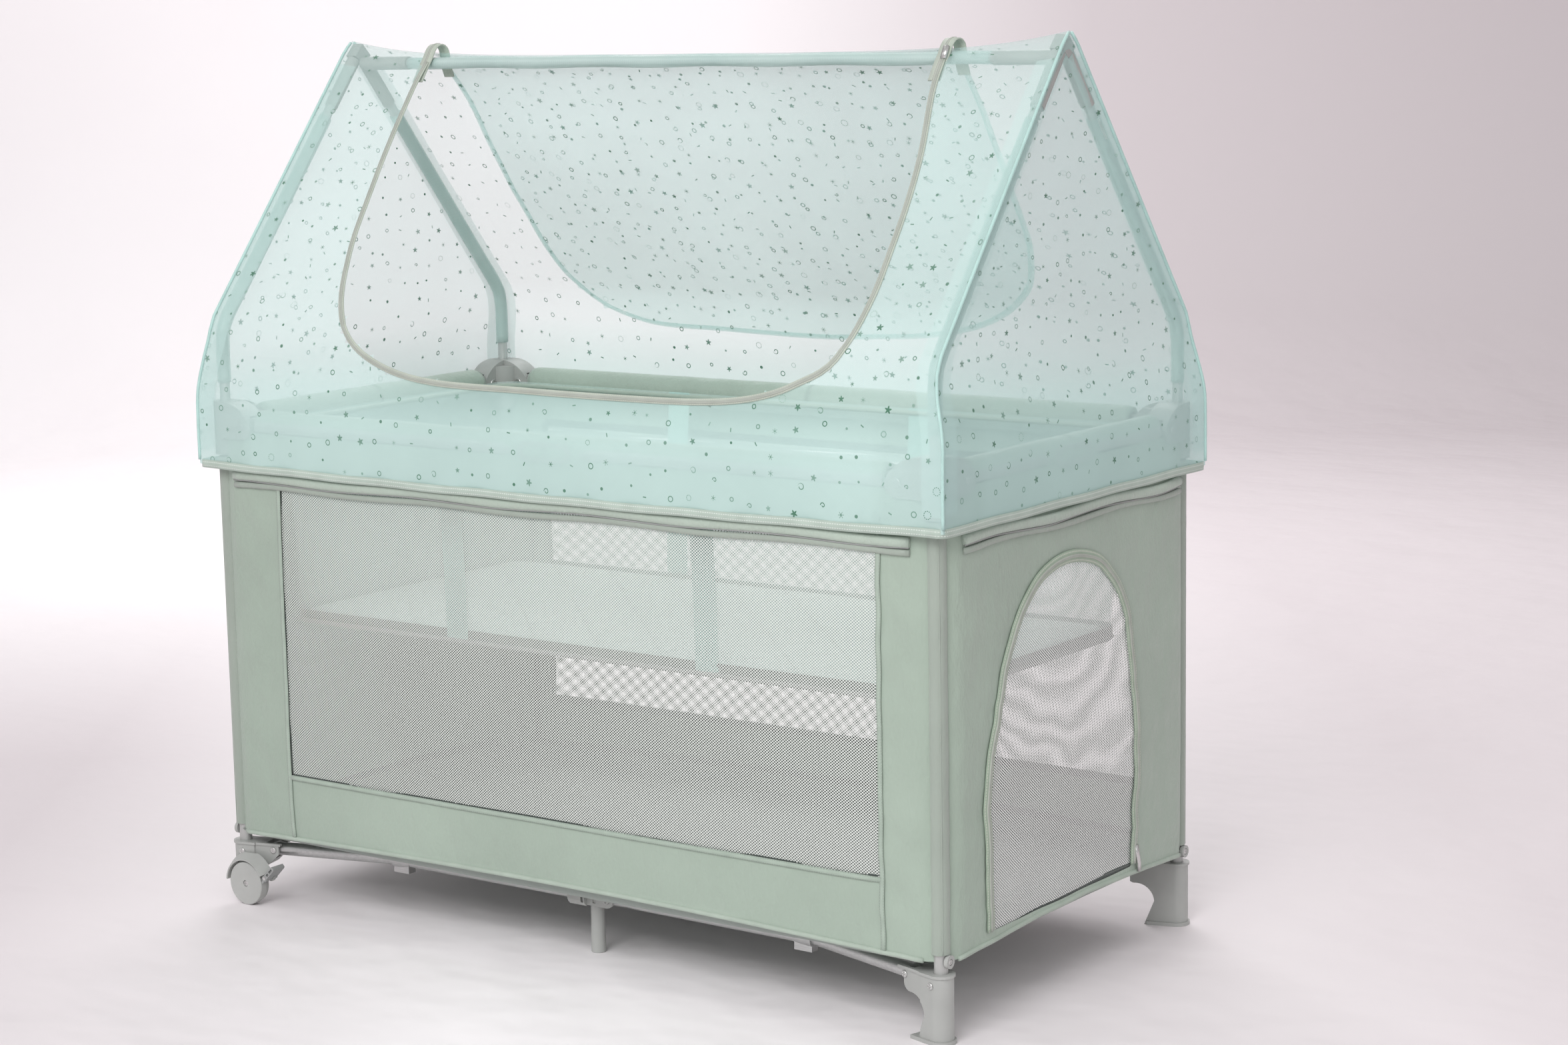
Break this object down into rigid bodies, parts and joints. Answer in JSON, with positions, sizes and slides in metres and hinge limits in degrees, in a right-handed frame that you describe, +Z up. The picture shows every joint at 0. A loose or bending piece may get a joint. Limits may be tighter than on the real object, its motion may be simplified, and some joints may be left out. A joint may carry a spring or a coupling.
{
  "type": "playpen",
  "caption": "Folding travel playpen with hinged top rails, cloth and net walls, a raised bassinet with mattress, and a house-shaped net canopy; wheels at one end.",
  "frame": {"origin": "on the floor under the middle of the playpen", "axes": "+X along the long side towards the feet, wheels at -X; -Y is the front with the zipped opening; +Z up"},
  "size_m": [1.257, 0.661, 1.2385],
  "materials": {
    "tube_grey": "satin powder coat",
    "grey_plastic": "fine texture",
    "dark_plastic": "fine texture",
    "screw_steel": "zinc plated",
    "wheel_grey": "smooth",
    "pole_white": "satin",
    "wall_fabric": "woven polyester and net",
    "floor_fabric": "woven polyester",
    "canopy_net": "fine net with a printed pattern",
    "bassinet_fabric": "woven polyester",
    "mattress_fabric": "quilted polyester"
  },
  "bodies": {
    "front_left_corner": {"front_left_post": "tube_grey", "front_left_bracket": "grey_plastic", "front_left_screws": "screw_steel", "front_left_wheel_housing": "grey_plastic", "front_left_wheel_hood": "grey_plastic", "front_wall": "wall_fabric", "left_wall": "wall_fabric"},
    "front_right_corner": {"front_right_post": "tube_grey", "front_right_bracket": "grey_plastic", "front_right_screws": "screw_steel", "front_right_foot": "grey_plastic", "right_wall": "wall_fabric"},
    "rear_right_corner": {"rear_right_post": "tube_grey", "rear_right_bracket": "grey_plastic", "rear_right_screws": "screw_steel", "rear_right_foot": "grey_plastic"},
    "rear_left_corner": {"rear_left_post": "tube_grey", "rear_left_bracket": "grey_plastic", "rear_left_screws": "screw_steel", "rear_left_wheel_housing": "grey_plastic", "rear_left_wheel_hood": "grey_plastic", "rear_wall": "wall_fabric"},
    "front_rail_left_half": {"front_rail_left_half": "tube_grey"},
    "front_rail_right_half": {"front_rail_right_half": "tube_grey"},
    "front_rail_knuckle": {"front_rail_knuckle": "grey_plastic"},
    "front_lock_button": {"front_lock_button": "dark_plastic"},
    "rear_rail_left_half": {"rear_rail_left_half": "tube_grey"},
    "rear_rail_right_half": {"rear_rail_right_half": "tube_grey"},
    "rear_rail_knuckle": {"rear_rail_knuckle": "grey_plastic"},
    "rear_lock_button": {"rear_lock_button": "dark_plastic"},
    "left_rail_front_half": {"left_rail_front_half": "tube_grey"},
    "left_rail_rear_half": {"left_rail_rear_half": "tube_grey"},
    "left_rail_knuckle": {"left_rail_knuckle": "grey_plastic"},
    "left_lock_button": {"left_lock_button": "dark_plastic"},
    "right_rail_front_half": {"right_rail_front_half": "tube_grey"},
    "right_rail_rear_half": {"right_rail_rear_half": "tube_grey"},
    "right_rail_knuckle": {"right_rail_knuckle": "grey_plastic"},
    "right_lock_button": {"right_lock_button": "dark_plastic"},
    "base_tube_front_left": {"base_tube_front_left": "tube_grey"},
    "base_tube_front_right": {"base_tube_front_right": "tube_grey"},
    "base_tube_rear_right": {"base_tube_rear_right": "tube_grey"},
    "base_tube_rear_left": {"base_tube_rear_left": "tube_grey"},
    "front_base_hub": {"front_base_hub": "grey_plastic", "playpen_floor": "floor_fabric"},
    "rear_base_hub": {"rear_base_hub": "grey_plastic"},
    "canopy": {"canopy_cover": "canopy_net", "canopy_flap": "canopy_net", "ridge_pole": "pole_white", "left_peak_connector": "grey_plastic", "right_peak_connector": "grey_plastic", "canopy_pole_front_left": "pole_white", "canopy_pole_front_right": "pole_white", "canopy_pole_rear_right": "pole_white", "canopy_pole_rear_left": "pole_white"},
    "bassinet": {"bassinet": "bassinet_fabric", "mattress": "mattress_fabric"},
    "front_left_wheel": {"front_left_wheel": "wheel_grey"},
    "front_left_brake_lever": {"front_left_brake_lever": "dark_plastic"},
    "rear_left_wheel": {"rear_left_wheel": "wheel_grey"},
    "rear_left_brake_lever": {"rear_left_brake_lever": "dark_plastic"}
  },
  "joints": [
    {"name": "frame_fold", "type": "hinge", "parent": "front_left_corner", "child": "front_rail_left_half", "pos_m": [-0.555, -0.301, 0.698], "axis": [0, 1, 0], "range_deg": [0, 80], "deforming": ["front_wall", "rear_wall", "left_wall", "right_wall", "playpen_floor"]},
    {"name": "front_rail_left_knuckle_hinge", "type": "hinge", "parent": "front_rail_left_half", "child": "front_rail_knuckle", "pos_m": [-0.032, -0.301, 0.698], "axis": [0, -1, 0], "range_deg": [0, 81]},
    {"name": "front_rail_right_knuckle_hinge", "type": "hinge", "parent": "front_rail_knuckle", "child": "front_rail_right_half", "pos_m": [0.032, -0.301, 0.698], "axis": [0, -1, 0], "range_deg": [0, 81]},
    {"name": "front_rail_right_hinge", "type": "hinge", "parent": "front_rail_right_half", "child": "front_right_corner", "pos_m": [0.555, -0.301, 0.698], "axis": [0, 1, 0], "range_deg": [0, 81]},
    {"name": "left_rail_front_hinge", "type": "hinge", "parent": "front_left_corner", "child": "left_rail_front_half", "pos_m": [-0.6, -0.256, 0.698], "axis": [-1, 0, 0], "range_deg": [0, 81]},
    {"name": "left_rail_front_knuckle_hinge", "type": "hinge", "parent": "left_rail_front_half", "child": "left_rail_knuckle", "pos_m": [-0.6, -0.032, 0.698], "axis": [1, 0, 0], "range_deg": [0, 81]},
    {"name": "left_rail_rear_knuckle_hinge", "type": "hinge", "parent": "left_rail_knuckle", "child": "left_rail_rear_half", "pos_m": [-0.6, 0.032, 0.698], "axis": [1, 0, 0], "range_deg": [0, 81]},
    {"name": "left_rail_rear_hinge", "type": "hinge", "parent": "left_rail_rear_half", "child": "rear_left_corner", "pos_m": [-0.6, 0.256, 0.698], "axis": [-1, 0, 0], "range_deg": [0, 81]},
    {"name": "right_rail_front_hinge", "type": "hinge", "parent": "front_right_corner", "child": "right_rail_front_half", "pos_m": [0.6, -0.256, 0.698], "axis": [-1, 0, 0], "range_deg": [0, 81]},
    {"name": "right_rail_front_knuckle_hinge", "type": "hinge", "parent": "right_rail_front_half", "child": "right_rail_knuckle", "pos_m": [0.6, -0.032, 0.698], "axis": [1, 0, 0], "range_deg": [0, 81]},
    {"name": "right_rail_rear_knuckle_hinge", "type": "hinge", "parent": "right_rail_knuckle", "child": "right_rail_rear_half", "pos_m": [0.6, 0.032, 0.698], "axis": [1, 0, 0], "range_deg": [0, 81]},
    {"name": "right_rail_rear_hinge", "type": "hinge", "parent": "right_rail_rear_half", "child": "rear_right_corner", "pos_m": [0.6, 0.256, 0.698], "axis": [-1, 0, 0], "range_deg": [0, 81]},
    {"name": "rear_rail_left_hinge", "type": "hinge", "parent": "rear_left_corner", "child": "rear_rail_left_half", "pos_m": [-0.555, 0.301, 0.698], "axis": [0, 1, 0], "range_deg": [0, 81]},
    {"name": "rear_rail_left_knuckle_hinge", "type": "hinge", "parent": "rear_rail_left_half", "child": "rear_rail_knuckle", "pos_m": [-0.032, 0.301, 0.698], "axis": [0, -1, 0], "range_deg": [0, 81]},
    {"name": "rear_rail_right_knuckle_hinge", "type": "hinge", "parent": "rear_rail_knuckle", "child": "rear_rail_right_half", "pos_m": [0.032, 0.301, 0.698], "axis": [0, -1, 0], "range_deg": [0, 81]},
    {"name": "base_tube_front_left_hinge", "type": "hinge", "parent": "front_left_corner", "child": "base_tube_front_left", "pos_m": [-0.55, -0.287, 0.079], "axis": [0, -1, 0], "range_deg": [0, 81]},
    {"name": "front_hub_left_hinge", "type": "hinge", "parent": "base_tube_front_left", "child": "front_base_hub", "pos_m": [-0.027, -0.232, 0.079], "axis": [0, 1, 0], "range_deg": [0, 81]},
    {"name": "front_hub_right_hinge", "type": "hinge", "parent": "front_base_hub", "child": "base_tube_front_right", "pos_m": [0.027, -0.232, 0.079], "axis": [0, 1, 0], "range_deg": [0, 81]},
    {"name": "base_tube_rear_left_hinge", "type": "hinge", "parent": "rear_left_corner", "child": "base_tube_rear_left", "pos_m": [-0.55, 0.287, 0.079], "axis": [0, -1, 0], "range_deg": [0, 81]},
    {"name": "rear_hub_left_hinge", "type": "hinge", "parent": "base_tube_rear_left", "child": "rear_base_hub", "pos_m": [-0.027, 0.232, 0.079], "axis": [0, 1, 0], "range_deg": [0, 81]},
    {"name": "rear_hub_right_hinge", "type": "hinge", "parent": "rear_base_hub", "child": "base_tube_rear_right", "pos_m": [0.027, 0.232, 0.079], "axis": [0, 1, 0], "range_deg": [0, 81]},
    {"name": "canopy_lift_off", "type": "slide", "parent": "front_left_corner", "child": "canopy", "axis": [0, 0, 1], "range_m": [0, 1.76]},
    {"name": "bassinet_lift_off", "type": "slide", "parent": "front_left_corner", "child": "bassinet", "axis": [0, 0, 1], "range_m": [0, 1.76]},
    {"name": "front_left_wheel_spin", "type": "hinge", "parent": "front_left_corner", "child": "front_left_wheel", "pos_m": [-0.578, -0.3218, 0.0315], "axis": [0, 1, 0], "continuous": true},
    {"name": "front_left_brake_tilt", "type": "hinge", "parent": "front_left_corner", "child": "front_left_brake_lever", "pos_m": [-0.54, -0.316, 0.044], "axis": [0, 1, 0], "range_deg": [0, 15]},
    {"name": "rear_left_wheel_spin", "type": "hinge", "parent": "rear_left_corner", "child": "rear_left_wheel", "pos_m": [-0.578, 0.3218, 0.0315], "axis": [0, 1, 0], "continuous": true},
    {"name": "rear_left_brake_tilt", "type": "hinge", "parent": "rear_left_corner", "child": "rear_left_brake_lever", "pos_m": [-0.54, 0.316, 0.044], "axis": [0, 1, 0], "range_deg": [0, 15]},
    {"name": "front_lock_press", "type": "slide", "parent": "front_rail_knuckle", "child": "front_lock_button", "axis": [0, 0, 1], "range_m": [0, 0.004], "stiffness_N_per_m": 250},
    {"name": "rear_lock_press", "type": "slide", "parent": "rear_rail_knuckle", "child": "rear_lock_button", "axis": [0, 0, 1], "range_m": [0, 0.004], "stiffness_N_per_m": 250},
    {"name": "left_lock_press", "type": "slide", "parent": "left_rail_knuckle", "child": "left_lock_button", "axis": [0, 0, 1], "range_m": [0, 0.004], "stiffness_N_per_m": 250},
    {"name": "right_lock_press", "type": "slide", "parent": "right_rail_knuckle", "child": "right_lock_button", "axis": [0, 0, 1], "range_m": [0, 0.004], "stiffness_N_per_m": 250}
  ],
  "couplings": [
    {"joint": "front_rail_left_knuckle_hinge", "follows": "frame_fold", "ratio": 1},
    {"joint": "front_rail_right_knuckle_hinge", "follows": "frame_fold", "ratio": 1},
    {"joint": "front_rail_right_hinge", "follows": "frame_fold", "ratio": 1},
    {"joint": "left_rail_front_hinge", "follows": "frame_fold", "ratio": 1},
    {"joint": "left_rail_front_knuckle_hinge", "follows": "frame_fold", "ratio": 1},
    {"joint": "left_rail_rear_knuckle_hinge", "follows": "frame_fold", "ratio": 1},
    {"joint": "left_rail_rear_hinge", "follows": "frame_fold", "ratio": 1},
    {"joint": "right_rail_front_hinge", "follows": "frame_fold", "ratio": 1},
    {"joint": "right_rail_front_knuckle_hinge", "follows": "frame_fold", "ratio": 1},
    {"joint": "right_rail_rear_knuckle_hinge", "follows": "frame_fold", "ratio": 1},
    {"joint": "right_rail_rear_hinge", "follows": "frame_fold", "ratio": 1},
    {"joint": "rear_rail_left_hinge", "follows": "frame_fold", "ratio": 1},
    {"joint": "rear_rail_left_knuckle_hinge", "follows": "frame_fold", "ratio": 1},
    {"joint": "rear_rail_right_knuckle_hinge", "follows": "frame_fold", "ratio": 1},
    {"joint": "base_tube_front_left_hinge", "follows": "frame_fold", "ratio": 1},
    {"joint": "front_hub_left_hinge", "follows": "frame_fold", "ratio": 1},
    {"joint": "front_hub_right_hinge", "follows": "frame_fold", "ratio": 1},
    {"joint": "base_tube_rear_left_hinge", "follows": "frame_fold", "ratio": 1},
    {"joint": "rear_hub_left_hinge", "follows": "frame_fold", "ratio": 1},
    {"joint": "rear_hub_right_hinge", "follows": "frame_fold", "ratio": 1},
    {"joint": "canopy_lift_off", "follows": "frame_fold", "m_per_rad": 1.25},
    {"joint": "bassinet_lift_off", "follows": "frame_fold", "m_per_rad": 1.25}
  ]
}
